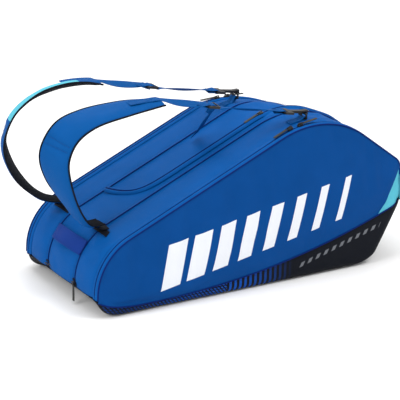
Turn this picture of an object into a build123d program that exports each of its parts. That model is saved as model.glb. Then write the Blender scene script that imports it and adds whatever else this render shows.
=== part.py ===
from build123d import *
import os
from math import asin, atan2, cos, degrees, radians, sin

# Racket tournament bag.
# Frame: X along the bag (carry-handle end at -X, racket-head end at +X),
# Y across it (-Y is the front), Z up. The origin is on the flat underside,
# in the middle. Millimetres.

# ---- Side outline of the bag: sharp corners (x, z) and the radius of each.
LEFT_X = -372.0
OUTLINE_CORNERS = [
    (LEFT_X, 0.0),
    (LEFT_X, 124.8),
    (166.9, 360.2),
    (353.5, 217.5),
    (360.0, 122.0),
    (288.0, 0.0),
]
OUTLINE_RADII = [35.0, 122.0, 199.0, 24.0, 10.0, 35.0]
SLOPE_DEG = 23.6
PEAK_CENTRE = (139.2, 131.3)
PEAK_RADIUS = 199.0
LEFT_ARC_CENTRE = (-250.0, 45.0)
LEFT_ARC_RADIUS = 122.0

# ---- The rear of the top sags: behind SAG_START_Y it falls towards +Y under a flatter arc.
SAG_START_Y = -60.0
SAG_FALL = 0.165
SAG_CENTRE = (96.4, 78.3)
SAG_RADIUS = 265.0
SAG_RIGHT_DEG = 22.8

# ---- Cross-section across the bag: half widths and wall.
TOP_HALF_WIDTH = 162.0
TOP_Z = 335.0
WIDEST_HALF_WIDTH = 174.0
WIDEST_Z = 40.0
BASE_HALF_WIDTH = 164.0
BASE_EDGE_RADIUS = 14.0
WALL = 4.0
SEAM_Y = 60.0
ZIP_Y = 148.0
MIDDLE_ZIP_Y = -32.0

# ---- Base band: the seam between the base and the upper panels (x, z).
BASE_SEAM = [(-400, 50), (-345, 26), (-281, 18), (-93, 28), (151, 64), (350, 129), (400, 150)]

# ---- Side flaps: they hinge on the line between the ends of their zippers.
FLAP_LEFT = (LEFT_X - 3, 47.0)
FLAP_RIGHT = (356.0, 215.0)
FLAP_GAP = 0.6

# ---- Inside.
DIVIDER_THICKNESS = 8.0
BOARD_THICKNESS = 3.0
INNER_CLEARANCE = 1.0
SHOE_WALL_X = -215.0

# ---- Zippers.
TAPE_THICKNESS = 0.8
TAPE_WIDTH = 19.0
COIL_WIDTH = 4.0
COIL_HEIGHT = 1.0
SLIDER_LENGTH = 13.0
SLIDER_WIDTH = 9.0
SLIDER_LIFT = 2.2
SLIDER_HEIGHT = 3.0
PULLER_LENGTH = 42.0
PULLER_WIDTH = 7.0
PULLER_THICKNESS = 1.6
PULLER_BAR = 2.0
EYE_LENGTH = 9.0
EYE_WIDTH = 3.4
BRIDGE_RISE = 4.0
BRIDGE_LENGTH = 10.0
BRIDGE_WINDOW = (7.0, 2.8)
PULLER_AXIS = SLIDER_LIFT + SLIDER_HEIGHT + BRIDGE_WINDOW[1] / 2
LEFT_SLIDER_X = 84.0
RIGHT_SLIDER_X = 108.0
SHOE_SLIDER_Y = -66.0
SHOE_ZIP_Z = 44.0
SHOE_ZIP_HALF = 125.0

# ---- Shoulder straps: stations of the padded part (x, y, z), its width and its twist.
STRAP_THICKNESS = 13.0
LINING_THICKNESS = 3.0
NEAR_PATH = [
    (-316, -66, 167), (-351, -70, 172), (-384, -72, 213), (-414, -72, 273), (-422, -72, 325),
    (-396, -73, 372), (-345, -74, 395), (-269, -75, 404), (-220, -77, 406), (-184, -79, 406),
]
FAR_PATH = [
    (-318, 98, 165), (-356, 92, 176), (-396, 84, 203), (-440, 77, 255), (-461, 75, 316),
    (-442, 75, 370), (-395, 76, 404), (-337, 78, 417), (-285, 80, 417), (-243, 82, 411),
]
STRAP_WIDTHS = [34, 40, 58, 76, 78, 78, 76, 70, 60, 46]
NEAR_TWISTS = [0, 4, 8, 18, 24, 20, 12, 8, 4, 0]
FAR_TWISTS = [0, 6, 14, 24, 28, 28, 28, 26, 20, 8]
WEBBING_WIDTH = 25.0
WEBBING_THICKNESS = 1.6
LOCK_SIZE = (26.0, 34.0, 5.0)
LOCK_SLOT = 6.0
NEAR_LOCK = (-68, -85, 383)
FAR_LOCK = (-118, 85, 386)
NEAR_RING = (135.0, -115.0)
FAR_RING = (93.0, 90.0)
TAIL_ROUTE = [(-62, -74, 374), (-52, -25, 326), (-43, 30, 280)]
TAIL_WIDTH = 20.0
RING_WIRE = 1.75
RING_INNER_WIDTH = 22.0
RING_RISE = 10.0
HOOK_CLEARANCE = 3.2
HOOK_WALL = 3.6
HOOK_WIDTH = 11.0
HOOK_DEPTH = 5.2

# ---- Carry handle on the end.
HANDLE_Z = 114.0
HANDLE_WIDTH = 32.0
HANDLE_THICKNESS = 3.0
HANDLE_RISE = 18.0
HANDLE_HALF_SPAN = 52.0
HANDLE_PATCH = 14.0

parts = {}


# ---------------------------------------------------------------- outlines
def moved_inward(points, inset):
    """Corners of a closed anticlockwise polygon, every side moved inward by `inset`."""
    count = len(points)
    lines = []
    for i in range(count):
        (x0, z0), (x1, z1) = points[i], points[(i + 1) % count]
        dx, dz = x1 - x0, z1 - z0
        length = (dx * dx + dz * dz) ** 0.5
        nx, nz = dz / length, -dx / length
        lines.append((nx, nz, nx * x0 + nz * z0 - inset))
    corners = []
    for i in range(count):
        a, b, c = lines[i - 1]
        d, e, f = lines[i]
        det = a * e - b * d
        corners.append(((c * e - b * f) / det, (a * f - c * d) / det))
    return corners


def side_outline(inset=0.0):
    """The bag's side outline as a face on the XZ plane, moved inward by `inset`."""
    clockwise = OUTLINE_CORNERS
    anticlockwise = clockwise[::-1]
    corners = moved_inward(anticlockwise, inset)
    radii = [max(radius - inset, 2.0) for radius in OUTLINE_RADII[::-1]]
    return Plane.XZ * make_face(FilletPolyline(*corners, radius=radii, close=True))


def cross_outline(inset=0.0):
    """The bag's cross-section as a face on the YZ plane, moved inward by `inset`."""
    right_side = [(BASE_HALF_WIDTH, 0.0), (WIDEST_HALF_WIDTH, WIDEST_Z), (TOP_HALF_WIDTH, TOP_Z)]
    left_side = [(-y, z) for y, z in right_side[::-1]]
    corners = moved_inward(right_side + left_side, inset)
    base_radius = max(BASE_EDGE_RADIUS - inset, 2.0)
    radii = [base_radius, 60.0, 1.0, 1.0, 60.0, base_radius]
    return Plane.YZ * make_face(FilletPolyline(*corners, radius=radii, close=True))


def sag_wedge(inset=0.0):
    """What the sagging rear of the top leaves out, moved down by `inset`."""
    centre_x, centre_z = SAG_CENTRE
    radius = SAG_RADIUS - inset
    left, right = radians(SLOPE_DEG), radians(SAG_RIGHT_DEG)
    start = (centre_x - radius * sin(left), centre_z + radius * cos(left))
    finish = (centre_x + radius * sin(right), centre_z + radius * cos(right))
    far_left = (start[0] - 700 * cos(left), start[1] - 700 * sin(left))
    far_right = (finish[0] + 500 * cos(right), finish[1] - 500 * sin(right))
    arc = ThreePointArc(start, (centre_x, centre_z + radius), finish)
    above = Polyline(far_right, (far_right[0], 900), (far_left[0], 900), far_left)
    edges = [Line(far_left, start), arc, Line(finish, far_right)] + list(above.edges())
    region = Plane.XZ * make_face(edges)
    return Pos(0, SAG_START_Y, 0) * extrude(region, amount=400, dir=(0, 1, -SAG_FALL))


def side_prism(inset=0.0, y0=-200.0, y1=200.0):
    """The side outline as a solid from y0 to y1, with its rear sagging."""
    solid = Pos(0, y0, 0) * extrude(side_outline(inset), amount=y1 - y0, dir=(0, 1, 0))
    return solid if y1 < SAG_START_Y else solid - sag_wedge(inset)


def cross_prism(inset=0.0):
    """The cross-section as a solid that is longer than the bag."""
    return Pos(-500, 0, 0) * extrude(cross_outline(inset), amount=1000, dir=(1, 0, 0))


def slab(x0, x1, y0, y1, z0, z1):
    """A box given by its limits."""
    return Pos((x0 + x1) / 2, (y0 + y1) / 2, (z0 + z1) / 2) * Box(x1 - x0, y1 - y0, z1 - z0)


def cut_by_seam(shape, above, margin=0.0):
    """The part of `shape` above or below the base seam."""
    points = [(x, z + (margin if above else -margin)) for x, z in BASE_SEAM]
    far_z = 500 if above else -100
    edge = Spline(*points)
    frame = Polyline(points[-1], (points[-1][0], far_z), (points[0][0], far_z), points[0])
    region = Plane.XZ * make_face([edge] + list(frame.edges()))
    return shape & (Pos(0, -250, 0) * extrude(region, amount=500, dir=(0, 1, 0)))


def cut_by_flap_line(shape, above):
    """The part of `shape` above or below the line that the side flaps hinge on."""
    (x0, z0), (x1, z1) = FLAP_LEFT, FLAP_RIGHT
    slope = (z1 - z0) / (x1 - x0)
    lift = FLAP_GAP / 2 if above else -FLAP_GAP / 2
    left = (-450, z0 + (-450 - x0) * slope + lift)
    right = (450, z0 + (450 - x0) * slope + lift)
    far_z = 600 if above else -200
    region = Plane.XZ * make_face(Polyline(left, right, (450, far_z), (-450, far_z), close=True))
    return shape & (Pos(0, -250, 0) * extrude(region, amount=500, dir=(0, 1, 0)))


def band_layer(outer_inset, inner_inset, y0, y1):
    """A strip of the outline's skin between two depths and two y values."""
    outer = side_prism(outer_inset, y0, y1)
    return outer - side_prism(inner_inset, y0 - 1, y1 + 1)


def slope_z(x):
    """Height of the straight slope at x."""
    tangent_x = LEFT_ARC_CENTRE[0] - LEFT_ARC_RADIUS * sin(radians(SLOPE_DEG))
    tangent_z = LEFT_ARC_CENTRE[1] + LEFT_ARC_RADIUS * cos(radians(SLOPE_DEG))
    rise = sin(radians(SLOPE_DEG)) / cos(radians(SLOPE_DEG))
    return tangent_z + (x - tangent_x) * rise


def peak_z(x):
    """Height of the rounded top at x."""
    return PEAK_CENTRE[1] + (PEAK_RADIUS ** 2 - (x - PEAK_CENTRE[0]) ** 2) ** 0.5


def sag_z(x, y):
    """Height of the sagging rear's arc at x and y."""
    arc = SAG_CENTRE[1] + (SAG_RADIUS ** 2 - (x - SAG_CENTRE[0]) ** 2) ** 0.5
    return arc - SAG_FALL * max(0, y - SAG_START_Y)


def top_z(x, y):
    """Height of the top near its peak."""
    return min(peak_z(x), sag_z(x, y))


# ---------------------------------------------------------------- shell
def make_shell():
    """Base, gussets, end panel, fixed side panels and the two side flaps."""
    body = side_prism() & cross_prism()
    tunnel = cross_prism(WALL)
    sides = body - tunnel
    band = (body & tunnel) - side_prism(WALL)
    floor_top = slab(-500, 500, -300, 300, -10, WALL)
    skirts = cut_by_seam(sides, False) - slab(-500, 500, -150, 150, -10, WALL + 0.01)
    parts["base_front_skirt"] = skirts & slab(-500, 500, -300, 0, -10, 400)
    parts["base_rear_skirt"] = skirts & slab(-500, 500, 0, 300, -10, 400)
    low_side_floor = (sides & floor_top) & slab(-500, 500, -150, 150, -10, 10)
    parts["base_floor"] = cut_by_seam(band, False) + low_side_floor

    upper = cut_by_seam(band, True)
    end_region = slab(330, 500, -300, 300, 60, 217)
    parts["end_panel"] = upper & end_region
    strips = upper - end_region
    parts["gusset_front"] = strips & slab(-500, 500, -300, -SEAM_Y, -10, 400)
    parts["gusset_centre"] = strips & slab(-500, 500, -SEAM_Y, SEAM_Y, -10, 400)
    parts["gusset_rear"] = strips & slab(-500, 500, SEAM_Y, 300, -10, 400)

    panels = cut_by_seam(sides, True)
    for side, y0, y1 in (("front", -300, -100), ("rear", 100, 300)):
        face = panels & slab(-500, 500, y0, y1, -10, 400)
        parts[side + "_panel"] = cut_by_flap_line(face, False)
        parts[side + "_flap"] = cut_by_flap_line(face, True)


def make_piping():
    """Welts along the two upper seams and along the base seam."""
    welts = band_layer(-1.4, 0, -SEAM_Y - 1.5, -SEAM_Y + 1.5)
    welts += band_layer(-1.4, 0, SEAM_Y - 1.5, SEAM_Y + 1.5)
    parts["gusset_piping"] = cut_by_seam(welts, True, 4) & slab(-500, 500, -300, 300, 54, 400)


# ---------------------------------------------------------------- inside
def make_inside():
    """Stiffening board, two padded dividers and the shoe pocket's wall."""
    room = side_prism(WALL + INNER_CLEARANCE) & cross_prism(WALL + INNER_CLEARANCE)
    board_z0 = WALL + INNER_CLEARANCE
    parts["base_board"] = slab(-325, 262, -140, 140, board_z0, board_z0 + BOARD_THICKNESS)
    above_board = board_z0 + BOARD_THICKNESS + INNER_CLEARANCE
    half = DIVIDER_THICKNESS / 2
    for side, y in (("front", -SEAM_Y), ("rear", SEAM_Y)):
        divider = room & slab(-500, 500, y - half, y + half, above_board, 400)
        parts["divider_" + side] = divider
    reach = SEAM_Y - half - INNER_CLEARANCE
    wall = room & slab(SHOE_WALL_X - 1, SHOE_WALL_X + 1, -reach, reach, above_board, 400)
    parts["shoe_pocket_wall"] = wall


# ---------------------------------------------------------------- zippers
def make_top_zip(name, y):
    """Tape and coil along the top of the bag at one y value."""
    reach = slab(LEFT_X - 20, 500, -300, 300, 52, 400)
    tape = band_layer(-TAPE_THICKNESS, 0, y - TAPE_WIDTH / 2, y + TAPE_WIDTH / 2)
    parts[name + "_zip_tape"] = (tape & reach) - slab(300, 500, -300, 300, -10, 216)
    top = -TAPE_THICKNESS - COIL_HEIGHT
    coil = band_layer(top, -TAPE_THICKNESS, y - COIL_WIDTH / 2, y + COIL_WIDTH / 2)
    parts[name + "_zip_coil"] = (coil & reach) - slab(300, 500, -300, 300, -10, 216)


def make_middle_zip():
    """The middle zipper starts at the rear seam and runs along the centre strip."""
    start = (-236.0, SEAM_Y - 4)
    bend = (-222.0, MIDDLE_ZIP_Y)
    finish = (344.0, MIDDLE_ZIP_Y)
    route = FilletPolyline(start, bend, finish, radius=32)

    def plan(width):
        band = trace(route, line_width=width)
        return Pos(0, 0, -50) * extrude(band, amount=500, dir=(0, 0, 1))

    window = slab(-300, 500, -SEAM_Y + 3, SEAM_Y - 3, 100, 400) - slab(300, 500, -300, 300, -10, 216)
    tape = band_layer(-TAPE_THICKNESS, 0, -SEAM_Y, SEAM_Y) & window
    parts["middle_zip_tape"] = tape & plan(TAPE_WIDTH)
    coil = band_layer(-TAPE_THICKNESS - COIL_HEIGHT, -TAPE_THICKNESS, -SEAM_Y, SEAM_Y) & window
    parts["middle_zip_coil"] = coil & plan(COIL_WIDTH)


def make_shoe_zip():
    """A short zipper across the bottom of the end, for the shoe pocket."""
    reach = SHOE_ZIP_HALF
    low, high = SHOE_ZIP_Z - 8.5, SHOE_ZIP_Z + 8.5
    skin = band_layer(-TAPE_THICKNESS, 0, -reach, reach)
    parts["shoe_zip_tape"] = skin & slab(-500, -300, -reach, reach, low, high)
    reach = SHOE_ZIP_HALF - 3
    low, high = SHOE_ZIP_Z - COIL_WIDTH / 2, SHOE_ZIP_Z + COIL_WIDTH / 2
    over = band_layer(-TAPE_THICKNESS - COIL_HEIGHT, -TAPE_THICKNESS, -reach, reach)
    parts["shoe_zip_coil"] = over & slab(-500, -300, -reach, reach, low, high)


def slider_shape():
    """Zipper slider: x along the zipper, z away from the bag, with a bridge on top."""
    body_z = SLIDER_LIFT + SLIDER_HEIGHT / 2
    body = Pos(0, 0, body_z) * Box(SLIDER_LENGTH, SLIDER_WIDTH, SLIDER_HEIGHT)
    body = fillet(body.edges().filter_by(Axis.Z), 3)
    top = SLIDER_LIFT + SLIDER_HEIGHT
    window_length, window_height = BRIDGE_WINDOW
    bridge = Pos(0, 0, top + BRIDGE_RISE / 2) * Box(BRIDGE_LENGTH, 1.8, BRIDGE_RISE)
    bridge -= Pos(0, 0, top + window_height / 2) * Box(window_length, SLIDER_WIDTH, window_height)
    return body + bridge


def puller_shape():
    """Pull tab lying along +x; its end bar passes under the slider's bridge."""
    from_end = (Align.MIN, Align.CENTER, Align.CENTER)
    grip = Box(PULLER_LENGTH, PULLER_WIDTH, PULLER_THICKNESS, align=from_end)
    eye = Box(EYE_LENGTH, EYE_WIDTH, 2 * PULLER_THICKNESS, align=from_end)
    return Pos(-PULLER_BAR / 2, 0, 0) * grip - Pos(PULLER_BAR / 2, 0, 0) * eye


def make_slider(name, x, y, z, tilt_deg, toward):
    """A slider and its pull tab at a point on the top, tilted to the surface there."""
    place = Location((x, y, z), (0, -tilt_deg, 0))
    turn = Rotation(0, 0, 0 if toward > 0 else 180)
    parts[name + "_slider"] = place * turn * slider_shape()
    parts[name + "_puller"] = place * turn * Pos(0, 0, PULLER_AXIS) * puller_shape()


def make_sliders():
    """Two sliders on each side zipper, one on the middle zipper, one on the shoe pocket."""
    left_z = slope_z(LEFT_SLIDER_X) + 0.3
    make_slider("front_left", LEFT_SLIDER_X, -ZIP_Y, left_z, SLOPE_DEG, -1)
    angle = degrees(atan2(PEAK_CENTRE[0] - RIGHT_SLIDER_X, PEAK_RADIUS))
    make_slider("front_right", RIGHT_SLIDER_X, -ZIP_Y, peak_z(RIGHT_SLIDER_X), angle, 1)
    for side, x, toward in (("rear_left", LEFT_SLIDER_X, -1), ("rear_right", RIGHT_SLIDER_X, 1)):
        angle = degrees(asin((SAG_CENTRE[0] - x) / SAG_RADIUS))
        make_slider(side, x, ZIP_Y, sag_z(x, ZIP_Y), angle, toward)
    make_slider("middle", LEFT_SLIDER_X, MIDDLE_ZIP_Y, left_z, SLOPE_DEG, -1)

    x = LEFT_X - SLIDER_LIFT - SLIDER_HEIGHT / 2
    body = Pos(x, SHOE_SLIDER_Y, SHOE_ZIP_Z) * Box(SLIDER_HEIGHT, SLIDER_LENGTH, SLIDER_WIDTH)
    stud_x = LEFT_X - SLIDER_LIFT - SLIDER_HEIGHT
    stud = Pos(stud_x - 2, SHOE_SLIDER_Y, SHOE_ZIP_Z) * Rotation(0, 90, 0) * Cylinder(1.4, 4)
    cap = Pos(stud_x - 3.6, SHOE_SLIDER_Y, SHOE_ZIP_Z) * Rotation(0, 90, 0) * Cylinder(2.8, 1.2)
    parts["shoe_slider"] = body + stud + cap
    tab_x = stud_x - 1.5
    tab = Pos(tab_x, SHOE_SLIDER_Y, SHOE_ZIP_Z - 17) * Box(PULLER_THICKNESS, PULLER_WIDTH, 40)
    eye = Pos(tab_x, SHOE_SLIDER_Y, SHOE_ZIP_Z) * Rotation(0, 90, 0) * Cylinder(1.9, 6)
    parts["shoe_puller"] = tab - eye


# ---------------------------------------------------------------- carry handle
def make_end_handle():
    """A webbing handle across the end, arched away from the bag, and its sewn ends."""
    drop = HANDLE_Z - LEFT_ARC_CENTRE[1]
    lean = degrees(atan2(drop, (LEFT_ARC_RADIUS ** 2 - drop ** 2) ** 0.5))
    reach = LEFT_ARC_RADIUS * cos(radians(lean))
    outward = Vector(-cos(radians(lean)), 0, sin(radians(lean)))
    along = Vector(sin(radians(lean)), 0, cos(radians(lean)))
    origin = Vector(LEFT_ARC_CENTRE[0] - reach, 0, HANDLE_Z)
    frame = Plane(origin=origin, x_dir=(0, 1, 0), z_dir=along)
    sign = 1 if frame.y_dir.dot(outward) > 0 else -1

    def arch(rise, half_span):
        return ThreePointArc((-half_span, 5 * sign), (0, rise * sign), (half_span, 5 * sign))

    outer = arch(HANDLE_RISE, HANDLE_HALF_SPAN)
    inner = arch(HANDLE_RISE - HANDLE_THICKNESS, HANDLE_HALF_SPAN - HANDLE_THICKNESS)
    ends = [Line(outer @ 1, inner @ 1), Line(inner @ 0, outer @ 0)]
    profile = frame * make_face([outer, inner] + ends)
    parts["end_handle"] = extrude(profile, amount=HANDLE_WIDTH / 2, both=True)
    patch = Box(HANDLE_PATCH, 4.2, HANDLE_WIDTH + 4)
    patch_y = HANDLE_HALF_SPAN + HANDLE_PATCH / 2 + 0.6
    left = frame * Pos(-patch_y, 3.8 * sign, 0) * patch
    right = frame * Pos(patch_y, 3.8 * sign, 0) * patch
    parts["handle_patches"] = left + right


# ---------------------------------------------------------------- shoulder straps
def strap_frames(path, twists, side):
    """Centre, width direction and outward direction at each station of a strap."""
    frames = []
    for i, point in enumerate(path):
        before = Vector(*path[max(i - 1, 0)])
        after = Vector(*path[min(i + 1, len(path) - 1)])
        tangent = (after - before).normalized()
        across = Vector(0, side, 0)
        across = (across - tangent * across.dot(tangent)).normalized()
        outward = tangent.cross(across) * side
        twist = radians(twists[i])
        width_dir = across * cos(twist) - outward * sin(twist)
        normal = outward * cos(twist) + across * sin(twist)
        frames.append((Vector(*point), width_dir, normal, tangent))
    return frames


def strap_layer(frames, low, high, corner):
    """A loft through rounded rectangles between two heights above the centre line."""
    sections = []
    for (centre, width_dir, normal, tangent), width in zip(frames, STRAP_WIDTHS):
        plane = Plane(origin=centre + normal * ((low + high) / 2), x_dir=width_dir, z_dir=tangent)
        sections.append(plane * RectangleRounded(width, high - low, corner))
    return loft(sections)


def webbing(start, end, width=WEBBING_WIDTH):
    """A flat run of webbing between two points."""
    run = Vector(*end) - Vector(*start)
    plane = Plane(origin=start, x_dir=Vector(0, 0, 1).cross(run).normalized(), z_dir=run.normalized())
    return extrude(plane * Rectangle(width, WEBBING_THICKNESS), amount=run.length)


def ladder_lock(centre, end):
    """A three-bar slide with two slots, lying along the webbing."""
    run = (Vector(*end) - Vector(*centre)).normalized()
    across = Vector(0, 0, 1).cross(run).normalized()
    frame = Plane(origin=centre, x_dir=run, z_dir=run.cross(across))
    body = Box(*LOCK_SIZE)
    slot = Box(LOCK_SLOT, WEBBING_WIDTH + 1.5, 10)
    body = fillet(body.edges().filter_by(Axis.Z), 3)
    return frame * (body - Pos(-7, 0, 0) * slot - Pos(7, 0, 0) * slot)


def hook_shape(bar_x, y, bar_z, root_x, root_z):
    """A hook that hangs over the ring's bar, on a plate that holds the webbing."""
    inner = RING_WIRE + HOOK_CLEARANCE
    outer = inner + HOOK_WALL
    top_z = bar_z + RING_WIRE + 1.0
    tip_z = bar_z + RING_WIRE - HOOK_DEPTH
    arm = [
        (root_x + 6, root_z + 2), (bar_x - outer + 2, top_z + HOOK_WALL), (bar_x + outer, top_z + HOOK_WALL),
        (bar_x + outer, tip_z), (bar_x + inner, tip_z), (bar_x + inner, top_z),
        (bar_x - inner, top_z), (bar_x - inner, tip_z), (bar_x - outer, tip_z),
        (bar_x - outer, top_z - 2), (root_x + 6, root_z - 2.5),
    ]
    profile = Plane.XZ * make_face(Polyline(*arm, close=True))
    nose = Pos(0, y - HOOK_WIDTH / 2, 0) * extrude(profile, amount=HOOK_WIDTH, dir=(0, 1, 0))
    plate = Box(20, 34, 5) - Pos(-4, 0, 0) * Box(LOCK_SLOT, WEBBING_WIDTH + 1.5, 10)
    lean = degrees(atan2(root_z - top_z, bar_x - outer - root_x))
    return nose + Location((root_x, y, root_z), (0, lean, 0)) * plate


def ring_shape(x, y, z):
    """A rectangular wire ring standing across the strap; z is its lower bar."""
    half = RING_INNER_WIDTH / 2 + RING_WIRE
    size = (2 * (half + RING_WIRE), RING_RISE + 2 * RING_WIRE)
    outer = RectangleRounded(*size, 2.5)
    inner = RectangleRounded(RING_INNER_WIDTH, RING_RISE - 2 * RING_WIRE, 1.0)
    wire = Plane.YZ * (outer - inner)
    solid = extrude(wire, amount=RING_WIRE, both=True)
    return Pos(x, y, z + RING_RISE / 2) * solid


def ring_tab(x, y, z):
    """A sewn webbing tab that holds the ring's lower bar."""
    ground = top_z(x, y)
    bottom = ground - 6
    top = z + RING_WIRE + 0.4 + 1.8
    block = slab(x - 8, x + 8, y - 9, y + 9, bottom, top)
    bore = Pos(x, y, z) * Rotation(90, 0, 0) * Cylinder(RING_WIRE * 1.5, 40)
    foot_ground = top_z(x - 18, y)
    foot = slab(x - 34, x - 8, y - 9, y + 9, foot_ground - 6, foot_ground + 3)
    return (block - bore + foot) - side_prism()


def make_strap(name, side, path, twists, lock, ring):
    """One shoulder strap: pad, webbing, slide, hook, ring and its two anchors."""
    ring_x, ring_y = ring
    frames = strap_frames(path, twists, side)
    half = STRAP_THICKNESS / 2
    split = -half + LINING_THICKNESS
    parts[name + "_pad_cover"] = strap_layer(frames, split + 0.6, half, 3.5)
    parts[name + "_pad_lining"] = strap_layer(frames, -half, split, 1.2)

    ring_z = peak_z(ring_x) + 5.0
    bar_z = ring_z + RING_RISE
    root = Vector(ring_x - 42, ring_y, bar_z + 9)
    tip = Vector(*path[-1])
    centre = Vector(*lock)
    into = (centre - tip).normalized()
    out_of = (root - centre).normalized()
    clear = LOCK_SIZE[0] / 2 + 0.3
    parts[name + "_upper_webbing"] = webbing(tip + into * 0.5, centre - into * (clear + 1.5))
    parts[name + "_ladder_lock"] = ladder_lock(centre, centre + (root - tip))
    parts[name + "_lower_webbing"] = webbing(centre + out_of * (clear + 1.5), root - out_of * 14)
    parts[name + "_hook"] = hook_shape(ring_x, ring_y, bar_z, root.X, root.Z)
    parts[name + "_ring"] = ring_shape(ring_x, ring_y, ring_z)
    parts[name + "_ring_tab"] = ring_tab(ring_x, ring_y, ring_z)

    x, y, z = path[0]
    foot = slab(x - 14, x + 26, y - 19, y + 19, slope_z(x) - 30, z - 8.5)
    above_slope = side_prism(-3.4) - side_prism(-1.6)
    parts[name + "_anchor"] = foot & above_slope


def make_tail():
    """The near strap's spare webbing, hanging from its slide to the top of the bag."""
    first = webbing(TAIL_ROUTE[0], TAIL_ROUTE[1], TAIL_WIDTH)
    second = webbing(TAIL_ROUTE[1], TAIL_ROUTE[2], TAIL_WIDTH)
    parts["near_webbing_tail"] = first + second


# ---------------------------------------------------------------- build
make_shell()
make_piping()
make_inside()
make_top_zip("front", -ZIP_Y)
make_top_zip("rear", ZIP_Y)
make_middle_zip()
make_shoe_zip()
make_sliders()
make_end_handle()
make_strap("near", -1, NEAR_PATH, NEAR_TWISTS, NEAR_LOCK, NEAR_RING)
make_strap("far", 1, FAR_PATH, FAR_TWISTS, FAR_LOCK, FAR_RING)
make_tail()

os.makedirs("parts", exist_ok=True)
for name, shape in parts.items():
    solids = shape.solids()
    export_step(solids[0] if len(solids) == 1 else Compound(children=solids), f"parts/{name}.step")
print(len(parts), "nodes")
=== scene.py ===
"""Looks of a racket tournament bag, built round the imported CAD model. Metres."""
from math import atan2, cos, exp, pi, radians, sin, sqrt, tan

import bmesh
import bpy
import numpy as np
from mathutils import Matrix, Vector, noise


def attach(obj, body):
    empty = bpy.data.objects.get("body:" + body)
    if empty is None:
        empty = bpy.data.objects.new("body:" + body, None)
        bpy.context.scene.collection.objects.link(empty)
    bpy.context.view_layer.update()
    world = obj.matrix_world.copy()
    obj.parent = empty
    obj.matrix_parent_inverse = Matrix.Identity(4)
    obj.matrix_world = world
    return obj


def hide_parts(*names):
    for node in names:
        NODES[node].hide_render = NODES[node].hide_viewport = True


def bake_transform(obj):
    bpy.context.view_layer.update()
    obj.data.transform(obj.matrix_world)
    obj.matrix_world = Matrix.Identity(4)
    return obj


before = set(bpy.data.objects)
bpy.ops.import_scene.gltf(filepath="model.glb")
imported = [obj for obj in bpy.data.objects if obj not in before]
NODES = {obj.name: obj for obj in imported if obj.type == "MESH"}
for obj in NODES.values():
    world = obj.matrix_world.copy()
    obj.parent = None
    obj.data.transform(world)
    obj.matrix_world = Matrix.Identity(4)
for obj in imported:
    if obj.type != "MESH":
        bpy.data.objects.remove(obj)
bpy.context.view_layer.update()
scene = bpy.context.scene

# ---- Driving dimensions, as in the CAD model (millimetres here, metres in the meshes).
# Arcs are given as centre x, centre z and radius.
MM = 0.001
CORNERS = [(-372, 0), (-372, 124.8), (166.9, 360.2), (353.5, 217.5), (360, 122), (288, 0)]
RADII = [35, 122, 199, 24, 10, 35]
LEFT_X = -372.0
SEAM_Y = 60.0
ZIP_Y = 148.0
MIDDLE_ZIP_Y = -32.0
EDGE_Y = 160.0
WIDEST_HALF = 174.0
WIDEST_Z = 40.0
TOP_HALF = 162.0
TOP_Z = 335.0
SEAM_LOW = (-281.0, 18.0)
SLOPE = radians(23.6)
PEAK = (139.2, 131.3, 199.0)
LEFT_ARC = (-250.0, 45.0, 122.0)
SAG_START_Y = -60.0
SAG_FALL = 0.165
SAG = (96.4, 78.3, 265.0)
SAG_RIGHT = radians(22.8)
NEAR_PATH = [
    (-316, -66, 167), (-351, -70, 172), (-384, -72, 213), (-414, -72, 273), (-422, -72, 325),
    (-396, -73, 372), (-345, -74, 395), (-269, -75, 404), (-220, -77, 406), (-184, -79, 406),
]
FAR_PATH = [
    (-318, 98, 165), (-356, 92, 176), (-396, 84, 203), (-440, 77, 255), (-461, 75, 316),
    (-442, 75, 370), (-395, 76, 404), (-337, 78, 417), (-285, 80, 417), (-243, 82, 411),
]
STRAP_WIDTHS = [34, 40, 58, 76, 78, 78, 76, 70, 60, 46]
NEAR_TWISTS = [0, 4, 8, 18, 24, 20, 12, 8, 4, 0]
FAR_TWISTS = [0, 6, 14, 24, 28, 28, 28, 26, 20, 8]
PAD_SEAMS = (0.485, 0.51)
WEBBING_WIDTH = 25.0
NEAR_LOCK = (-68, -85, 383)
FAR_LOCK = (-118, 85, 386)
NEAR_RING = (135, -115)
FAR_RING = (93, 90)
HOOK_REACH = 42.0
SPARE_END = (-6.5, -5.5)
HANDLE_Z = 114.0


# ================================================================ outline maths
def rounded_outline(corners, radii, step=3.0):
    """Points and outward normals along a clockwise polygon with rounded corners."""
    points, normals = [], []
    count = len(corners)
    for i in range(count):
        here = np.array(corners[i], float)
        before = here - np.array(corners[i - 1], float)
        after = np.array(corners[(i + 1) % count], float) - here
        before /= np.linalg.norm(before)
        after /= np.linalg.norm(after)
        turn = np.arccos(np.clip(before @ after, -1, 1))
        start = here - before * radii[i] * tan(turn / 2)
        centre = start + np.array([before[1], -before[0]]) * radii[i]
        if points:
            gap = start - points[-1]
            steps = max(1, int(np.linalg.norm(gap) / step))
            for _ in range(1, steps):
                points.append(points[-1] + gap / steps)
                normals.append(np.array([-before[1], before[0]]))
        pieces = max(3, int(radii[i] * turn / step))
        first = atan2(start[1] - centre[1], start[0] - centre[0])
        for k in range(pieces + 1):
            angle = first - turn * k / pieces
            normals.append(np.array([cos(angle), sin(angle)]))
            points.append(centre + normals[-1] * radii[i])
    return np.array(points), np.array(normals)


OUTLINE, NORMALS = rounded_outline(CORNERS, RADII)
LENGTHS = np.concatenate([[0], np.cumsum(np.linalg.norm(np.diff(OUTLINE, axis=0), axis=1))])


def place_of(x, z):
    """Length along the outline of the point nearest to (x, z)."""
    return LENGTHS[np.argmin((OUTLINE[:, 0] - x) ** 2 + (OUTLINE[:, 1] - z) ** 2)]


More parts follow.
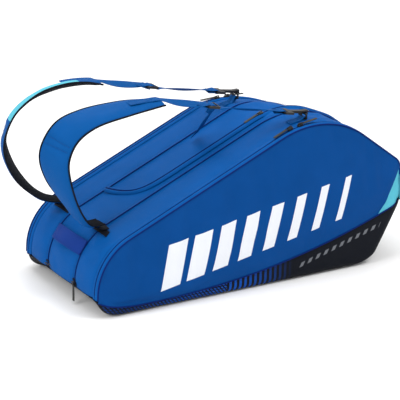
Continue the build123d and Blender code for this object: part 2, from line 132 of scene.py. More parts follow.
def on_outline(s):
    """Point and outward normal on the outline at a length s."""
    point = np.array([np.interp(s, LENGTHS, OUTLINE[:, k]) for k in (0, 1)])
    normal = np.array([np.interp(s, LENGTHS, NORMALS[:, k]) for k in (0, 1)])
    return point, normal / np.linalg.norm(normal)


def sag_z(x, y):
    """Height of the sagging rear of the top at x and y: an arc between two slopes, falling to the rear."""
    centre_x, centre_z, radius = SAG
    left = centre_x - radius * sin(SLOPE)
    right = centre_x + radius * sin(SAG_RIGHT)
    if x < left:
        arc = centre_z + radius * cos(SLOPE) - (left - x) * tan(SLOPE)
    elif x > right:
        arc = centre_z + radius * cos(SAG_RIGHT) - (x - right) * tan(SAG_RIGHT)
    else:
        arc = centre_z + sqrt(radius ** 2 - (x - centre_x) ** 2)
    return arc - SAG_FALL * (y - SAG_START_Y) if y > SAG_START_Y else 1000.0


def soft_min(a, b, blend=5.0):
    """The lower of two values, with a rounded change between them."""
    mix = min(max(0.5 + 0.5 * (b - a) / blend, 0.0), 1.0)
    return b * (1 - mix) + a * mix - blend * mix * (1 - mix)


def skin(s, y, height=0.0):
    """A point above the bag's skin, in metres; the rear of the top sags."""
    point, normal = on_outline(s)
    x, z = point[0] + normal[0] * height, point[1] + normal[1] * height
    return Vector((x, y, soft_min(z, sag_z(x, y) + height))) * MM


def base_seam(x):
    """Height of the seam between the base and the upper panels; it climbs away from its lowest point."""
    low_x, low_z = SEAM_LOW
    if x < low_x:
        return low_z + 14 * ((low_x - x) / 89) ** 2
    return low_z + 113 * ((x - low_x) / 631) ** 2.2


def smooth(value, low, high):
    """0 below low, 1 above high, and an S curve between them."""
    t = min(max((value - low) / (high - low), 0.0), 1.0)
    return t * t * (3 - 2 * t)


S_LOW = place_of(LEFT_X, 37)
S_CORNER = place_of(352, 214)
S_END = place_of(358, 130)


def spread(low, high, count):
    """Evenly spaced values, both ends included."""
    return [low + (high - low) * k / (count - 1) for k in range(count)]


def sheet(us, vs, point):
    """Rows of points: point(u, v) for every u, and for every v within it."""
    return [[point(u, v) for v in vs] for u in us]


def catmull(values, t):
    """Smooth curve through a list of values at t from 0 to 1."""
    values = [np.array(v, float) for v in values]
    span = t * (len(values) - 1)
    i = min(int(span), len(values) - 2)
    f = span - i
    a = values[max(i - 1, 0)]
    b, c = values[i], values[i + 1]
    d = values[min(i + 2, len(values) - 1)]
    curve = (2 * a - 5 * b + 4 * c - d) * f ** 2 + (3 * b - a - 3 * c + d) * f ** 3
    return 0.5 * (2 * b + (c - a) * f + curve)


# ================================================================ materials
BLUE = (0.0002, 0.056, 0.238)
# The next blue is the side cloth's blue painted lighter: painted light from above on the top strips, zipper
# lips and end panel.
TOP_BLUE_PAINTED_LIGHT = (0.0003, 0.083, 0.325)
WEB_BLUE = (0.0008, 0.078, 0.29)
PRINT_BLUE = (0.006, 0.085, 0.46)
# The handle's colour is partly its own violet navy and partly painted shade, darkened to stand in for the
# shadow round the handle.
HANDLE_NAVY_AND_PAINTED_SHADE = (0.008, 0.040, 0.24)
THREAD_BLUE = (0.01, 0.05, 0.2)
COIL_BLUE = (0.0008, 0.009, 0.09)
NAVY = (0.0015, 0.015, 0.13)
BLACK = (0.006, 0.0075, 0.012)
LINING = (0.02, 0.022, 0.028)
GREY = (0.16, 0.17, 0.19)
CYAN = (0.10, 0.48, 0.60)
WHITE = (0.80, 0.82, 0.86)


class Field:
    """A number that varies over a surface. It adds, multiplies and compares like a plain number."""

    def __init__(self, tree, socket):
        self.tree = tree
        self.socket = socket

    def math(self, operation, *others):
        """The result of one Math node, with this number first."""
        node = new_node(self.tree, "ShaderNodeMath", dict(enumerate((self, *others))))
        node.operation = operation
        return Field(self.tree, node.outputs[0])

    def __add__(self, other):
        return self.math("ADD", other)

    def __mul__(self, other):
        return self.math("MULTIPLY", other)

    def __gt__(self, other):
        return self.math("GREATER_THAN", other)

    def __lt__(self, other):
        return self.math("LESS_THAN", other)

    def between(self, low, high):
        """1 where the number lies between two limits, and 0 elsewhere."""
        return (self > low) * (self < high)

    def limited(self, low, high):
        """The number, kept between two limits."""
        return self.math("MAXIMUM", low).math("MINIMUM", high)


def new_node(tree, kind, inputs):
    """A shader node with some of its inputs set or linked."""
    node = tree.nodes.new(kind)
    for key, value in inputs.items():
        value = value.socket if isinstance(value, Field) else value
        if isinstance(value, bpy.types.NodeSocket):
            tree.links.new(value, node.inputs[key])
        else:
            node.inputs[key].default_value = value
    return node


def mixed(factor, a, b):
    """Colour a turning into colour b as the factor goes from 0 to 1."""
    sides = {k: c if isinstance(c, bpy.types.NodeSocket) else (*c, 1.0) for k, c in ((6, a), (7, b))}
    node = factor.tree.nodes.new("ShaderNodeMix")
    node.data_type = "RGBA"
    for key, value in {0: factor.socket, **sides}.items():
        if isinstance(value, tuple):
            node.inputs[key].default_value = value
        else:
            factor.tree.links.new(value, node.inputs[key])
    return node.outputs[2]


def tinted(colour, factor, offset=0.0):
    """A colour made darker or lighter."""
    return tuple(c * factor + offset for c in colour)


def new_material(name, rough, specular, metal=0.0):
    """A principled material, its node tree and its shader."""
    material = bpy.data.materials.new(name)
    material.use_nodes = True
    shader = material.node_tree.nodes["Principled BSDF"]
    shader.inputs["Roughness"].default_value = rough
    shader.inputs["Metallic"].default_value = metal
    shader.inputs["Specular IOR Level"].default_value = specular
    return material, material.node_tree, shader


def coordinates(tree):
    """Object coordinates in millimetres: x, y and z, and all three as one vector."""
    source = tree.nodes.new("ShaderNodeTexCoord").outputs["Object"]
    scaled = new_node(tree, "ShaderNodeVectorMath", {0: source, 1: (1000.0, 1000.0, 1000.0)})
    scaled.operation = "MULTIPLY"
    parts = new_node(tree, "ShaderNodeSeparateXYZ", {0: scaled.outputs[0]})
    return [Field(tree, part) for part in parts.outputs], scaled.outputs[0]


def weave(tree, pitch, ribs):
    """Height of a woven surface: a plain weave, or ribs along v. It follows the UV map, in metres."""
    uv = tree.nodes.new("ShaderNodeUVMap").outputs[0]
    parts = new_node(tree, "ShaderNodeSeparateXYZ", {0: uv})
    turns = 2 * pi / (pitch * MM)
    across = (Field(tree, parts.outputs[0]) * turns).math("SINE")
    along = (Field(tree, parts.outputs[1]) * turns).math("SINE")
    return across * 0.35 + along.math("ABSOLUTE") if ribs else across * along


def noise_of(tree, vector, scale, detail):
    """Noise from 0 to 1; scale is in features per millimetre."""
    node = new_node(tree, "ShaderNodeTexNoise", {"Vector": vector, "Scale": scale, "Detail": detail})
    return Field(tree, node.outputs[0])


def cloth_material(name, colour, pitch=1.1, rough=0.6, depth=0.35, ribs=False, paint=None):
    """Woven coated cloth: weave bump, slight mottling, painted shade for the gaps of the weave. paint(xyz,
    colour) adds prints.
    """
    material, tree, shader = new_material(name, rough, 0.05)
    xyz, vector = coordinates(tree)
    height = weave(tree, pitch, ribs)
    mottle = noise_of(tree, vector, 0.02, 4.0)
    base = mixed(mottle, tinted(colour, 0.86), tinted(colour, 1.1, 0.002))
    if paint:
        base = paint(xyz, base)
    # Painted shade: the colour darkens with the weave's height, standing in for shade between the threads.
    base = mixed(height * 0.08 + 0.08, base, tinted(colour, 0.55))
    tree.links.new(base, shader.inputs["Base Color"])
    rough_map = noise_of(tree, vector, 0.08, 2.0) * 0.16 + (rough - 0.08)
    tree.links.new(rough_map.socket, shader.inputs["Roughness"])
    fine = new_node(tree, "ShaderNodeBump", {"Strength": depth, "Distance": 0.0003, "Height": height})
    swell = {"Strength": 0.25, "Distance": 0.004, "Height": noise_of(tree, vector, 0.012, 2.0)}
    soft = new_node(tree, "ShaderNodeBump", {"Normal": fine.outputs[0], **swell})
    tree.links.new(soft.outputs[0], shader.inputs["Normal"])
    return material


def plastic_material(name, colour, rough=0.6, grain=0.6, metal=0.0):
    """Moulded plastic or coated metal with a fine grain, and tone and roughness that vary in blotches."""
    material, tree, shader = new_material(name, rough, 0.3, metal)
    vector = coordinates(tree)[1]
    wear = noise_of(tree, vector, 0.15, 4.0)
    tree.links.new(mixed(wear, tinted(colour, 0.8), tinted(colour, 1.35, 0.004)), shader.inputs["Base Color"])
    tree.links.new((wear * 0.2 + (rough - 0.1)).socket, shader.inputs["Roughness"])
    relief = {"Strength": 0.2, "Distance": 0.0002, "Height": noise_of(tree, vector, grain, 2.0)}
    tree.links.new(new_node(tree, "ShaderNodeBump", relief).outputs[0], shader.inputs["Normal"])
    return material


def side_print(xyz, base):
    """White slanted bars that thin out to the right, and the pale corner at the end."""
    x, y, z = xyz
    first_x, pitch, row_length = -262.0, 60.0, 480.0
    rise = x * -0.185 + z
    slant = rise * -0.28 + x + -first_x
    phase = (slant * (1 / pitch)).math("FRACT")
    share = slant * -0.00125 + 0.80
    bars = rise.between(84.0, 172.0) * slant.between(0.0, row_length) * (phase < share)
    base = mixed(bars * (y < 0.0), base, WHITE)
    corner_x = 289.0
    reach = (x * (1 / 63.0) + -corner_x / 63.0).math("MAXIMUM", 0.0)
    edge = reach.math("POWER", 1.2) * 92.0 + 107.0
    return mixed((z < edge) * (x > corner_x), base, CYAN)


def end_print(xyz, base):
    """The pale corner carried round on to the end panel."""
    x, y, z = xyz
    return mixed(z < y.math("ABSOLUTE") * 0.2 + 155.0, base, CYAN)


def base_print(xyz, base):
    """Dots, then upright stripes in blue that fade to plain black, and a row of grey ticks."""
    x, y, z = xyz
    dots_end, stripes_end, face = -78.0, 90.0, 164.0
    dash = ((z * 0.9 + x) * 0.75).math("SINE") > -0.1
    cross = (z * 1.1).math("SINE") > -0.5
    stripes = (x * 0.52).math("SINE") > 0.1
    pattern = dash * cross * (x < dots_end) + stripes * x.between(dots_end, stripes_end)
    fade = (x * (-1 / 130.0) + 0.62).limited(0.0, 1.0)
    rise = (x * (1 / 180.0) + 2.15).limited(0.4, 1.0)
    base = mixed(pattern * fade * rise * (y.math("ABSOLUTE") > face), base, PRINT_BLUE)
    line = x * -0.28 + z
    slant = z * -0.5 + x
    tick = (slant * (1 / 17.0)).math("FRACT") < 0.45
    row = line.between(-1.0, 8.0) * slant.between(78.0, 256.0)
    return mixed(row * tick * (y < -face), base, GREY)


def strap_print(xyz, base):
    """The pale stretch of the far strap, from its middle seam to its tip."""
    x, y, z = xyz
    return mixed((z > 372.0) * (x < -300.0), base, CYAN)


LOOK = {
    "side": cloth_material("side_panel_cloth", BLUE, paint=side_print),
    # Top strips, zipper lips and end panel: the same cloth as the sides, with painted light in its lighter
    # blue.
    "top": cloth_material("top_panel_cloth_painted_light", TOP_BLUE_PAINTED_LIGHT),
    "end": cloth_material("end_panel_cloth_painted_light", TOP_BLUE_PAINTED_LIGHT, paint=end_print),
    "base": cloth_material("base_cloth", BLACK, pitch=1.6, rough=0.5, depth=0.5, paint=base_print),
    "lining": cloth_material("lining_cloth", LINING, pitch=0.8, rough=0.7),
    "piping": cloth_material("piping_cloth", NAVY, pitch=0.9, rough=0.5),
    "webbing": cloth_material("blue_webbing", WEB_BLUE, pitch=1.7, rough=0.62, depth=0.8, ribs=True),
    "handle": cloth_material("handle_cloth", HANDLE_NAVY_AND_PAINTED_SHADE, pitch=1.2, depth=0.5),
    "pad": cloth_material("pad_cloth", WEB_BLUE, pitch=1.0),
    "far_pad": cloth_material("far_pad_cloth", WEB_BLUE, pitch=1.0, rough=0.55, paint=strap_print),
    "mesh": cloth_material("black_mesh", BLACK, pitch=2.2, rough=0.8, depth=1.0),
    "binding": cloth_material("black_binding", BLACK, pitch=1.0),
    "thread": cloth_material("thread", THREAD_BLUE, pitch=0.4),
    "coil": cloth_material("zip_coil", COIL_BLUE, pitch=0.6, rough=0.7),
    "black_coil": plastic_material("black_coil", (0.01, 0.01, 0.012), rough=0.35, grain=1.5),
    "plastic": plastic_material("black_acetal", (0.012, 0.012, 0.013), rough=0.38),
    "metal": plastic_material("black_nickel", (0.03, 0.03, 0.033), rough=0.3, metal=0.7),
    "rubber": plastic_material("black_rubber", (0.018, 0.018, 0.018), grain=0.9),
    "board": plastic_material("base_board", (0.02, 0.02, 0.022)),
}


# ================================================================ mesh helpers
def grid(name, rows, material, closed=False, outward_from=None, inner=None):
    """A mesh of quads through rows of points, with a UV map in metres."""
    points = np.array([[tuple(p) for p in row] for row in rows], float)
    count, width = points.shape[:2]
    along = np.concatenate([[0], np.cumsum(np.linalg.norm(np.diff(points, axis=0), axis=2).mean(axis=1))])
    across = np.concatenate([[0], np.cumsum(np.linalg.norm(np.diff(points, axis=1), axis=2).mean(axis=0))])
    faces, corner_uv = [], []
    lap = float(np.linalg.norm(points[:, 0] - points[:, -1], axis=1).mean())
    for i in range(count - 1):
        for j in range(width if closed else width - 1):
            k = (j + 1) % width
            faces.append((i * width + j, (i + 1) * width + j, (i + 1) * width + k, i * width + k))
            u0, u1, v0 = along[i], along[i + 1], across[j]
            v1 = across[k] if k else across[-1] + lap
            corner_uv += [(u0, v0), (u1, v0), (u1, v1), (u0, v1)]
    mesh = bpy.data.meshes.new(name)
    mesh.from_pydata(points.reshape(-1, 3).tolist(), [], faces)
    uv = mesh.uv_layers.new(name="UVMap")
    uv.data.foreach_set("uv", np.array(corner_uv).ravel())
    mesh.materials.append(material)
    if inner:
        mesh.materials.append(inner)
    mesh.update()
    if outward_from is not None:
        centre = Vector(outward_from)
        facing = sum((p.center - centre).normalized().dot(p.normal) * p.area for p in mesh.polygons)
        if facing < 0:
            mesh.flip_normals()
    mesh.shade_smooth()
    obj = bpy.data.objects.new(name, mesh)
    scene.collection.objects.link(obj)
    return obj


def tube(name, path, radius, material, sides=8):
    """A round welt or wire along a path of points."""
    rows = []
    for i, point in enumerate(path):
        tangent = (path[min(i + 1, len(path) - 1)] - path[max(i - 1, 0)]).normalized()
        side = tangent.cross(Vector((0, 1, 0)) if abs(tangent.y) < 0.9 else Vector((0, 0, 1))).normalized()
        other = tangent.cross(side)
        angles = [2 * pi * k / sides for k in range(sides)]
        rows.append([point + (side * cos(a) + other * sin(a)) * radius for a in angles])
    obj = grid(name, rows, material, closed=True)
    close_ends(obj, sides)
    return obj


def close_ends(obj, sides):
    """Caps the two ends of a closed tube, and turns every face outward."""
    mesh = obj.data
    bm = bmesh.new()
    bm.from_mesh(mesh)
    bm.verts.ensure_lookup_table()
    bm.faces.new(bm.verts[:sides])
    bm.faces.new(list(bm.verts)[-sides:])
    bmesh.ops.recalc_face_normals(bm, faces=bm.faces)
    bm.to_mesh(mesh)
    bm.free()
    mesh.shade_smooth()


def shell(obj, thickness=2.2, levels=1, offset=-1.0):
    """Smooths a sheet and gives it the thickness of padded cloth, with lining on the inside."""
    if levels:
        subdivide = obj.modifiers.new("smooth", "SUBSURF")
        subdivide.levels = levels
        subdivide.render_levels = levels
    solid = obj.modifiers.new("thickness", "SOLIDIFY")
    solid.thickness = thickness * MM
    solid.offset = offset
    solid.material_offset = 1 if len(obj.data.materials) > 1 else 0
    return obj


def settle(obj, body, slot, *nodes):
    """The piece rides on a body and stands for some CAD nodes; slot is not used."""
    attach(obj, body)
    if nodes:
        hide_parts(*nodes)
    return obj


def billow(obj, pinned, pressure, cap, slack=0.01, frames=16):
    """A short cloth simulation with the seams pinned; it swells and puckers the cloth a little."""
    group = obj.vertex_groups.new(name="seams")
    group.add(pinned, 1.0, "REPLACE")
    modifier = obj.modifiers.new("cloth", "CLOTH")
    settings = modifier.settings
    settings.quality = 6
    settings.mass = 0.15
    settings.tension_stiffness = 20
    settings.compression_stiffness = 20
    settings.shear_stiffness = 10
    settings.bending_stiffness = 1.5
    settings.use_pressure = True
    settings.uniform_pressure_force = pressure
    settings.shrink_min = -slack
    settings.vertex_group_mass = group.name
    settings.effector_weights.gravity = 0.3
    modifier.collision_settings.use_collision = False
    modifier.point_cache.frame_start = 1
    modifier.point_cache.frame_end = frames
    rest = np.array([v.co for v in obj.data.vertices])
    for number in range(1, frames + 1):
        scene.frame_set(number)
    shaped = obj.evaluated_get(bpy.context.evaluated_depsgraph_get())
    moved = np.array([v.co for v in shaped.data.vertices]) - rest
    obj.modifiers.remove(modifier)
    obj.vertex_groups.clear()
    length = np.linalg.norm(moved, axis=1, keepdims=True)
    moved *= np.minimum(1.0, cap * MM / np.maximum(length, 1e-9))
    obj.data.vertices.foreach_set("co", (rest + moved).ravel())
    obj.data.update()
    scene.frame_set(1)


def border(rows, width):
    """Vertex numbers round the edge of a grid."""
    edge = []
    for i in range(rows):
        for j in range(width):
            if i in (0, rows - 1) or j in (0, width - 1):
                edge.append(i * width + j)
    return edge


def bevelled(node, width, material):
    """A CAD node that stays: its seams are welded, its edges softened and it gets its material."""
    obj = NODES[node]
    weld = obj.modifiers.new("weld", "WELD")
    weld.merge_threshold = 0.00002
    bevel = obj.modifiers.new("bevel", "BEVEL")
    bevel.width = width * MM
    bevel.segments = 3
    bevel.limit_method = "ANGLE"
    bevel.angle_limit = radians(35)
    bevel.harden_normals = True
    obj.data.materials.clear()
    obj.data.materials.append(material)
    return obj


# ================================================================ the bag's panels
def make_gusset(node, y0, y1, crown):
    """A strip of cloth over the left end and the top, crowned between its seams."""
    def point(s, t):
        y = y0 + (y1 - y0) * t
        swell = crown * (1 - abs(2 * t - 1) ** 3) - 0.6
        wave = noise.noise(Vector((s * 0.012, y * 0.03, 3.1))) * 1.6 * (1 - abs(2 * t - 1) ** 2)
        return skin(s, y, swell + wave)

    columns, levels = 120, 13
    rows = sheet(spread(S_LOW, S_CORNER, columns), spread(0, 1, levels), point)
    name = "strip_of_" + node
    obj = grid(name, rows, LOOK["top"], outward_from=(0, 0, 0.1), inner=LOOK["lining"])
    billow(obj, border(columns, levels), 1.5, 4)
    return settle(shell(obj), "bag", "blue_fabric", node)


def face_y(x, z, v, sign):
    """Half width of a side panel at (x, z); v runs from the base seam (0) to the outline (1)."""
    upper = LENGTHS[(LENGTHS >= S_LOW - 1) & (LENGTHS <= S_END + 1)]
    low = np.searchsorted(LENGTHS, upper[0])
    high = np.searchsorted(LENGTHS, upper[-1])
    gap = sqrt(np.min((OUTLINE[low:high, 0] - x) ** 2 + (OUTLINE[low:high, 1] - z) ** 2))
    share = min(max((z - WIDEST_Z) / (TOP_Z - WIDEST_Z), 0), 1)
    lean = WIDEST_HALF - (WIDEST_HALF - TOP_HALF) * share
    out = EDGE_Y + (lean + 2 - EDGE_Y) * (1 - exp(-gap / 24)) + 4 * sin(pi * min(v, 1)) * smooth(gap, 10, 90)
    at_seam = base_half_width(x, z)
    return sign * (at_seam + (out - at_seam) * smooth(v, -0.02, 0.35))


def base_half_width(x, z):
    """Half width of the base in plan, with its rounded corners."""
    radius = 26
    left = max(0.0, (LEFT_X + radius) - x)
    corner = radius - sqrt(max(radius ** 2 - min(left, radius) ** 2, 0))
    right_x = 350 + (z - 131) * 0.1
    right = max(0.0, x - (right_x - radius))
    corner += 0.6 * (radius - sqrt(max(radius ** 2 - min(right, radius) ** 2, 0)))
    return 173.5 - min(corner, 15)


def make_side(name, sign, nodes):
    """A side of the bag: one sheet from the base seam to the zipper."""
    columns, levels = 110, 30
    rows = []
    for u in spread(0, 1, columns):
        top, normal = on_outline(S_LOW + (S_CORNER + 2 - S_LOW) * u)
        low_x = LEFT_X + 0.5 + (357 - LEFT_X) * u ** 1.12
        low = np.array([low_x, base_seam(low_x)])
        row = []
        for v in spread(0, 1, levels):
            x, z = low + (top - low) * v
            y = face_y(x, z, v, sign)
            if sign > 0:
                z = min(z, low[1] + (soft_min(top[1], sag_z(top[0], EDGE_Y)) - low[1]) * v)
            wave = noise.noise(Vector((x * 0.009, z * 0.013, 7.7 * sign))) * 3.0 * sin(pi * v)
            row.append(Vector((x, y + wave * sign, z)) * MM)
        rows.append(row)
    obj = grid(name, rows, LOOK["side"], outward_from=(0, 0, 0.15), inner=LOOK["lining"])
    billow(obj, border(columns, levels), 2.0, 5, slack=0.004)
    shell(obj)
    settle(obj, "bag", "blue_fabric", *nodes)
    open_with_flap(obj)
    return obj


def open_with_flap(obj):
    """The piece is taken off its body, and its place is baked into its mesh."""
    world = obj.matrix_world.copy()
    obj.parent = None
    obj.matrix_world = world
    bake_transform(obj)


def make_end_panel():
    """The upright panel at the racket-head end."""
    def point(s, y):
        swell = 3.5 * (1 - abs(y / 161) ** 4) * sin(pi * smooth(s, S_CORNER - 8, S_END + 10)) - 0.5
        return skin(s, y, swell)

    columns, levels = 14, 31
    rows = sheet(spread(S_CORNER, S_END + 3, columns), spread(-EDGE_Y - 1, EDGE_Y + 1, levels), point)
    obj = grid("end_face", rows, LOOK["end"], outward_from=(0, 0, 0.17), inner=LOOK["lining"])
    billow(obj, border(columns, levels), 1.5, 3)
    return settle(shell(obj), "bag", "cyan_fabric", "end_panel")


def left_limit(z, y):
    """The base's left end: rounded below at the corners, and cut back under the end between them."""
    rounded = -337 - sqrt(max(35 ** 2 - (35 - min(z, 35)) ** 2, 0))
    cut_back = 1.0 * max(0.0, 34 - z) * (1 - smooth(abs(y), 120, 166))
    return rounded + cut_back


def right_limit(z):
    """The base's right end at a height: a wall that leans out, rounded at the bottom."""
    wall = 287 + (min(z, 128) / 122) * 67
    return wall - 22 * (1 - smooth(z, 0, 26)) ** 1.6


def square_point(k, count):
    """The kth of count points round a square with sides from -1 to 1."""
    share = 4 * (k + 0.5) / count
    side, t = int(share), 2 * (share - int(share)) - 1
    return [(t, -1), (1, t), (-t, 1), (-1, -t)][side]


def base_ring(t, around):
    """Points round the base at a share t of the height from the floor to the seam."""
    ring = []
    for k in range(around):
        a, b = square_point(k, around)
        x, y = -10 + 360 * a, 170 * b
        for _ in range(4):
            z = base_seam(max(min(x, 357), LEFT_X)) * t ** 1.15
            half = 155 + sqrt(max(18 ** 2 - (18 - min(z, 18)) ** 2, 0)) + 0.5 * smooth(z, 10, 60)
            y = b * half
            low, high = left_limit(z, y), right_limit(z)
            x = (low + high) / 2 + a * (high - low) / 2
        for end, radius in ((low, 26), (high, 20)):
            inward = 1 if end == low else -1
            centre_x, centre_y = end + inward * radius, np.sign(b) * (half - radius)
            dx, dy = x - centre_x, y - centre_y
            if dx * inward < 0 and dy * np.sign(b) > 0:
                size = sqrt(dx * dx + dy * dy)
                x, y = centre_x + dx * radius / size, centre_y + dy * radius / size
        bulge = 1.5 * sin(pi * t) * noise.noise(Vector((x * 0.015, b * 2, 1.0)))
        ring.append(Vector((x, y + b * bulge, z)) * MM)
    return ring


def make_base():
    """The base: a tray whose rim follows the seam, with a rounded lower edge."""
    around = 280
    wall = [base_ring(t, around) for t in spread(0, 1, 18)]
    centre = Vector((-25, 0, 0)) * MM
    floor = [[centre + (p - centre) * share for p in wall[0]] for share in (0.02, 0.3, 0.6, 0.85)]
    looks = {"material": LOOK["base"], "inner": LOOK["lining"]}
    obj = grid("base_tray", floor + wall, closed=True, outward_from=(0, 0, 0.06), **looks)
    return settle(shell(obj, 2.5), "bag", "base_fabric", "base_floor", "base_front_skirt", "base_rear_skirt")


def make_welts():
    """Dark piping along the seams of the top strips, the sides and the base."""
    for name, y in (("gusset_welt_front", -SEAM_Y), ("gusset_welt_rear", SEAM_Y)):
        path = [skin(s, y, 0.4) for s in spread(S_LOW, S_END, 220)]
        welt = settle(tube(name, path, 1.3 * MM, LOOK["piping"]), "bag", "navy_piping")
    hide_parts("gusset_piping")
    for side, sign in (("front", -1), ("rear", 1)):
        path = [skin(s, sign * (EDGE_Y + 0.5), 0.4) for s in spread(S_LOW, S_CORNER, 220)]
        edge = tube(side + "_edge_welt", path, 1.5 * MM, LOOK["piping"])
        open_with_flap(edge)
        path = [skin(s, sign * (EDGE_Y + 0.5), 0.4) for s in spread(S_CORNER, S_END + 2, 30)]
        settle(tube(side + "_end_welt", path, 1.5 * MM, LOOK["piping"]), "bag", "navy_piping")
        path = []
        for x in spread(LEFT_X + 2, 351, 160):
            path.append(Vector((x, sign * (base_half_width(x, base_seam(x)) + 0.4), base_seam(x))) * MM)
        settle(tube(side + "_base_welt", path, 1.4 * MM, LOOK["piping"]), "bag", "navy_piping")


# ================================================================ zippers
def zip_lips(name, y, half, ends):
    """Two folded lips of cloth beside a coil; the inner one rides on the bag, the outer one is baked in
    place.
    """
    made = []
    for side in (-1, 1):
        def point(s, t):
            across = side * (0.7 + (half - 0.7) * t)
            lift = 0.5 + 2.4 * sin(pi * min(1, t * 1.15)) ** 0.7 * (1 - 0.35 * t)
            lift += 0.25 * noise.noise(Vector((s * 0.05, y + across, 2.0)))
            return skin(s, y + across, lift)

        rows = sheet(spread(*ends, 220), spread(0, 1, 9), point)
        outer = side * y > 0
        lip_name = name + ("_lip_outer" if outer else "_lip_inner")
        lip = grid(lip_name, rows, LOOK["top"], outward_from=(0, 0, 0.1))
        shell(lip, 0.8, 0)
        if outer:
            open_with_flap(lip)
        else:
            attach(lip, "bag")
        made.append(lip)
    return made


def coil_line(name, path, material, width, node):
    """The zipper's coil: a round cord with a fine ripple."""
    points = [point + Vector((0, 0.4 if i % 2 else -0.4, 0)) * MM for i, point in enumerate(path)]
    coil = tube(name, points, width * MM, material, 6)
    settle(coil, "bag", "zip_coil", node)


def make_top_zips():
    """The two side zippers along the top edges."""
    for side, sign in (("front", -1), ("rear", 1)):
        y = sign * ZIP_Y
        lips = zip_lips(side + "_zip", y, 9.5, (S_LOW - 1, S_CORNER + 1))
        path = [skin(s, y, 1.0) for s in spread(S_LOW + 8, S_CORNER - 2, 420)]
        coil_line(side + "_coil", path, LOOK["coil"], 1.4, side + "_zip_coil")
        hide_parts(side + "_zip_tape")


def middle_route():
    """Centre line of the middle zipper: (length along the outline, y) pairs."""
    begin, finish = place_of(-236, 184), S_CORNER - 2
    route = []
    for t in spread(0, 1, 260):
        s = begin + (finish - begin) * t
        ahead = (s - begin) / 34.0
        y = MIDDLE_ZIP_Y + (SEAM_Y - 3 - MIDDLE_ZIP_Y) * exp(-ahead * 1.6) * max(0, 1 - ahead * 0.12)
        route.append((s, y))
    return route


def make_middle_zip():
    """The middle zipper, which curves out of the rear seam."""
    route = middle_route()
    for side, label in ((-1, "front"), (1, "rear")):
        rows = []
        for i, (s, y) in enumerate(route):
            s2, y2 = route[min(i + 1, len(route) - 1)]
            s1, y1 = route[max(i - 1, 0)]
            ds, dy = s2 - s1, y2 - y1
            length = sqrt(ds * ds + dy * dy)
            row = []
            for t in spread(0, 1, 9):
                off = side * (0.7 + 8.3 * t)
                lift = 4.2 - 3.4 * t ** 4 + 2.2 * sin(pi * min(1, t * 1.15)) ** 0.7 * (1 - 0.5 * t)
                row.append(skin(s - off * dy / length, min(y + off * ds / length, SEAM_Y), lift))
            rows.append(row)
        lip = grid("middle_zip_lip_" + label, rows, LOOK["top"], outward_from=(0, 0, 0.1))
        shell(lip, 0.8, 0)
        settle(lip, "bag", "blue_fabric", "middle_zip_tape")
    coil_line("middle_coil", [skin(s, y, 5.2) for s, y in route], LOOK["coil"], 1.4, "middle_zip_coil")


def make_shoe_zip():
    """The shoe pocket's zipper, whose black coil waves a little along the bottom of the end."""
    path = []
    for y in spread(-122, 122, 260):
        wave = 1.2 * sin(y * 0.16) + 0.8 * sin(y * 0.41)
        path.append(Vector((LEFT_X - 1.6, y, 44 + wave)) * MM)
    coil_line("shoe_coil", path, LOOK["black_coil"], 1.8, "shoe_zip_coil")
    for label, z0, z1 in (("upper", 46.5, 53), ("lower", 41.5, 35)):
        def point(y, t):
            return Vector((LEFT_X - 0.8 - 1.2 * sin(pi * t), y, z0 + (z1 - z0) * t)) * MM

        rows = sheet(spread(-124, 124, 120), spread(0, 1, 7), point)
        lip = grid("shoe_zip_tape_" + label, rows, LOOK["binding"], outward_from=(0, 0, 0.045))
        shell(lip, 0.8, 0)
        settle(lip, "bag", "black_webbing", "shoe_zip_tape")


# ================================================================ inside
def quilted(name, y0, y1, node):
    """A padded board of cloth inside the bag, quilted in slanted lines."""
    gap, floor_z, pitch = 7, 12.0, 56
    rows = []
    inner = OUTLINE[:, 1] > floor_z
    top = OUTLINE[inner] - NORMALS[inner] * gap
    order = np.argsort(top[:, 0])
    xs, zs = top[order, 0], top[order, 1]
    for x in spread(-360, 343, 150):
        reach = min(float(np.interp(x, xs, zs)), sag_z(x, y1) - gap)
        low = floor_z + max(0.0, x - 280) * 1.7 + max(0.0, -322 - x) * 1.1
        row = []
        for t in spread(0, 1, 40):
            z = low + (max(reach, low + 2) - low) * t
            puff = 2.2 * abs(sin((x + z) * pi / pitch) * sin((x - z) * pi / pitch)) ** 0.4
            row.append((x, z, puff))
        rows.append(row)
    front = [[Vector((x, y0 - puff + 2.5, z)) * MM for x, z, puff in row] for row in rows]
    back = [[Vector((x, y1 + puff - 2.5, z)) * MM for x, z, puff in row][::-1] for row in rows]
    rings = [f + b for f, b in zip(front, back)]
    obj = grid(name, rings, LOOK["lining"], closed=True, outward_from=(0, 0, 0.12))
    close_ends(obj, 80)
    return settle(obj, "bag", "padded_lining", node)


def make_inside():
    """Two padded dividers, the shoe pocket's wall and the board in the base."""
    for side, y in (("front", -SEAM_Y), ("rear", SEAM_Y)):
        quilted("padded_divider_" + side, y - 4, y + 4, "divider_" + side)
    bevelled("base_board", 1.0, LOOK["board"])

    def point(z, y):
        wave = 2.5 * noise.noise(Vector((y * 0.02, z * 0.02, 4.0)))
        return Vector((-215 + wave, y, z)) * MM

    rows = sheet(spread(14, 186, 30), spread(-54, 54, 24), point)
    wall = shell(grid("shoe_wall", rows, LOOK["lining"]), 1.5)
    settle(wall, "bag", "padded_lining", "shoe_pocket_wall")


